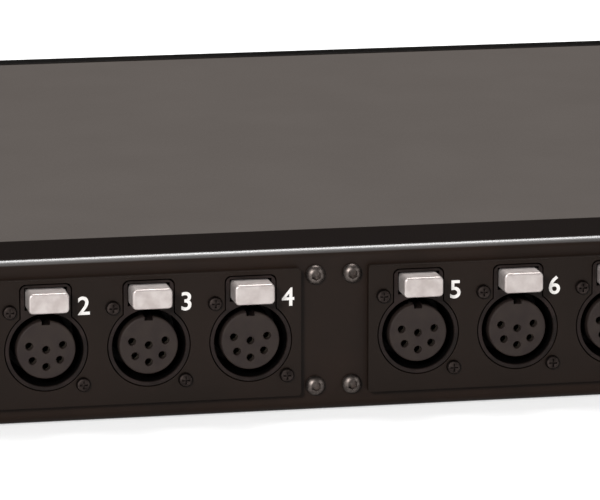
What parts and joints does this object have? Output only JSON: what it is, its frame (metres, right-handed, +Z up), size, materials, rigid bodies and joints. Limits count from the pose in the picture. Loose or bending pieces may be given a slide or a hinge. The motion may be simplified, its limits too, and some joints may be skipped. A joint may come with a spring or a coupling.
{
  "type": "digital to analog converter",
  "caption": "Rack-mounted stage lighting converter that turns digital control data into analog dimmer levels at latching round multi-pole sockets along its rear.",
  "frame": {"origin": "middle of the bounding box's bottom, on the surface that the case stands on", "axes": "+X along the case, to the right as seen from the sockets' side; +Y from the sockets towards the rack panel; +Z up"},
  "size_m": [0.4826, 0.3184, 0.0437],
  "materials": {
    "case_paint": "fine dark brown-black powder coat, satin",
    "cover_paint": "fine grey-brown powder coat, satin",
    "panel_anodised": "black anodised, fine brushed grain",
    "socket_nylon": "moulded glass-filled nylon, fine spark texture",
    "insert_nylon": "moulded nylon, smooth satin",
    "latch_nickel": "nickel-plated zinc casting, satin",
    "contact_metal": "tin-plated brass",
    "screw_black": "black oxide, worn",
    "zinc_steel": "zinc-plated, passivated",
    "circuit_board": "green solder mask on glass epoxy",
    "ribbon_grey": "ribbed vinyl",
    "lead_sleeve": "smooth vinyl sleeve",
    "transformer_iron": "varnished laminated iron",
    "dial_nylon": "moulded nylon, smooth"
  },
  "bodies": {
    "case": {"chassis_tray": "case_paint", "top_cover": "cover_paint", "front_panel": "panel_anodised", "dmx_in_shell": "socket_nylon", "dmx_in_pins": "contact_metal", "centre_bracket": "zinc_steel", "transformer": "transformer_iron", "mains_inlet": "socket_nylon", "mains_inlet_pins": "contact_metal", "switch_housing": "socket_nylon", "left_ribbon": "ribbon_grey", "right_ribbon": "ribbon_grey", "left_output_plate": "case_paint", "right_output_plate": "case_paint", "dmx_plate": "case_paint", "output_1_shell": "socket_nylon", "output_2_shell": "socket_nylon", "output_3_shell": "socket_nylon", "output_4_shell": "socket_nylon", "output_5_shell": "socket_nylon", "output_6_shell": "socket_nylon", "output_7_shell": "socket_nylon", "output_8_shell": "socket_nylon", "dmx_thru_shell": "socket_nylon", "output_1_insert": "insert_nylon", "output_2_insert": "insert_nylon", "output_3_insert": "insert_nylon", "output_4_insert": "insert_nylon", "output_5_insert": "insert_nylon", "output_6_insert": "insert_nylon", "output_7_insert": "insert_nylon", "output_8_insert": "insert_nylon", "dmx_thru_insert": "insert_nylon", "left_output_board": "circuit_board", "right_output_board": "circuit_board", "dmx_board": "circuit_board", "main_board": "circuit_board", "power_supply_board": "circuit_board", "front_board": "circuit_board", "mains_lead": "lead_sleeve", "supply_lead": "lead_sleeve", "direct_current_lead": "lead_sleeve", "data_lead": "lead_sleeve", "strip_screw_1": "screw_black", "strip_screw_2": "screw_black", "strip_screw_3": "screw_black", "strip_screw_4": "screw_black"},
    "output_1_latch": {"output_1_latch": "latch_nickel"},
    "output_2_latch": {"output_2_latch": "latch_nickel"},
    "output_3_latch": {"output_3_latch": "latch_nickel"},
    "output_4_latch": {"output_4_latch": "latch_nickel"},
    "output_5_latch": {"output_5_latch": "latch_nickel"},
    "output_6_latch": {"output_6_latch": "latch_nickel"},
    "output_7_latch": {"output_7_latch": "latch_nickel"},
    "output_8_latch": {"output_8_latch": "latch_nickel"},
    "dmx_thru_latch": {"dmx_thru_latch": "latch_nickel"},
    "switch_rocker": {"switch_rocker": "socket_nylon"},
    "address_dial_1": {"address_dial_1": "dial_nylon"},
    "address_dial_2": {"address_dial_2": "dial_nylon"},
    "address_dial_3": {"address_dial_3": "dial_nylon"}
  },
  "joints": [
    {"name": "output_1_latch_press", "type": "slide", "parent": "case", "child": "output_1_latch", "axis": [0, 1, 0], "range_m": [0, 0.002], "stiffness_N_per_m": 800, "springref_m": -0.003},
    {"name": "output_2_latch_press", "type": "slide", "parent": "case", "child": "output_2_latch", "axis": [0, 1, 0], "range_m": [0, 0.002], "stiffness_N_per_m": 800, "springref_m": -0.003},
    {"name": "output_3_latch_press", "type": "slide", "parent": "case", "child": "output_3_latch", "axis": [0, 1, 0], "range_m": [0, 0.002], "stiffness_N_per_m": 800, "springref_m": -0.003},
    {"name": "output_4_latch_press", "type": "slide", "parent": "case", "child": "output_4_latch", "axis": [0, 1, 0], "range_m": [0, 0.002], "stiffness_N_per_m": 800, "springref_m": -0.003},
    {"name": "output_5_latch_press", "type": "slide", "parent": "case", "child": "output_5_latch", "axis": [0, 1, 0], "range_m": [0, 0.002], "stiffness_N_per_m": 800, "springref_m": -0.003},
    {"name": "output_6_latch_press", "type": "slide", "parent": "case", "child": "output_6_latch", "axis": [0, 1, 0], "range_m": [0, 0.002], "stiffness_N_per_m": 800, "springref_m": -0.003},
    {"name": "output_7_latch_press", "type": "slide", "parent": "case", "child": "output_7_latch", "axis": [0, 1, 0], "range_m": [0, 0.002], "stiffness_N_per_m": 800, "springref_m": -0.003},
    {"name": "output_8_latch_press", "type": "slide", "parent": "case", "child": "output_8_latch", "axis": [0, 1, 0], "range_m": [0, 0.002], "stiffness_N_per_m": 800, "springref_m": -0.003},
    {"name": "dmx_thru_latch_press", "type": "slide", "parent": "case", "child": "dmx_thru_latch", "axis": [0, 1, 0], "range_m": [0, 0.002], "stiffness_N_per_m": 800, "springref_m": -0.003},
    {"name": "power_switch_rock", "type": "hinge", "parent": "case", "child": "switch_rocker", "pos_m": [0.185, 0.15452, 0.02185], "axis": [1, 0, 0], "range_deg": [0, 16]},
    {"name": "address_dial_1_turn", "type": "hinge", "parent": "case", "child": "address_dial_1", "pos_m": [0.05, 0.155, 0.02185], "axis": [0, 1, 0], "continuous": true},
    {"name": "address_dial_2_turn", "type": "hinge", "parent": "case", "child": "address_dial_2", "pos_m": [0.07, 0.155, 0.02185], "axis": [0, 1, 0], "continuous": true},
    {"name": "address_dial_3_turn", "type": "hinge", "parent": "case", "child": "address_dial_3", "pos_m": [0.09, 0.155, 0.02185], "axis": [0, 1, 0], "continuous": true}
  ]
}
